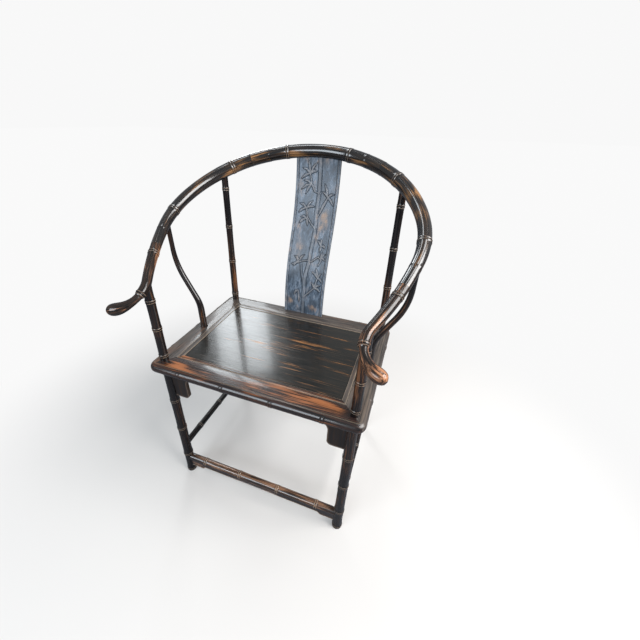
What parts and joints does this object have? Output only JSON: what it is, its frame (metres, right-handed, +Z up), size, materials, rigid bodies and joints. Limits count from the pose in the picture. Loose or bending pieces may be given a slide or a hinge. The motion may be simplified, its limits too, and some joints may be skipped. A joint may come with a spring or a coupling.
{
  "type": "horseshoe back armchair",
  "caption": "Horseshoe back armchair with carved bamboo style round members, a curved back splat, a framed board seat and a foot rail.",
  "frame": {"origin": "on the floor, under the middle of the chair's outline", "axes": "+Z up, +X to the right as seen from the front, the sitter faces -Y"},
  "size_m": [0.6896, 0.5762, 0.984],
  "materials": {
    "round_wood": "black-brown lacquer, rubbed through to amber on the handled parts",
    "key_wood": "black-brown lacquer over square keys",
    "splat_wood": "thin black-brown lacquer, rubbed to tan on the raised work",
    "frame_wood": "black-brown lacquer, worn to reddish brown on the front edge",
    "panel_wood": "glossy dark lacquer over side to side grain",
    "apron_wood": "satin dark brown lacquer",
    "foot_wood": "lacquer worn to reddish tan by shoes"
  },
  "bodies": {
    "root": {"crest_rail": "round_wood", "shoulder_rail_right": "round_wood", "shoulder_rail_left": "round_wood", "arm_rail_right": "round_wood", "arm_rail_left": "round_wood", "front_leg_right": "round_wood", "front_leg_left": "round_wood", "rear_leg_right": "round_wood", "rear_leg_left": "round_wood", "arm_post_right": "round_wood", "arm_post_left": "round_wood", "stretcher_right": "round_wood", "stretcher_left": "round_wood", "stretcher_rear": "round_wood", "scarf_keys": "key_wood", "back_splat": "splat_wood", "seat_rail_front": "frame_wood", "seat_rail_rear": "frame_wood", "seat_rail_right": "frame_wood", "seat_rail_left": "frame_wood", "seat_board_front": "panel_wood", "seat_board_middle": "panel_wood", "seat_board_rear": "panel_wood", "seat_batten_right": "panel_wood", "seat_batten_left": "panel_wood", "apron_front": "apron_wood", "apron_rear": "apron_wood", "apron_right": "apron_wood", "apron_left": "apron_wood", "foot_rail": "foot_wood", "foot_rail_apron": "foot_wood"}
  },
  "joints": []
}
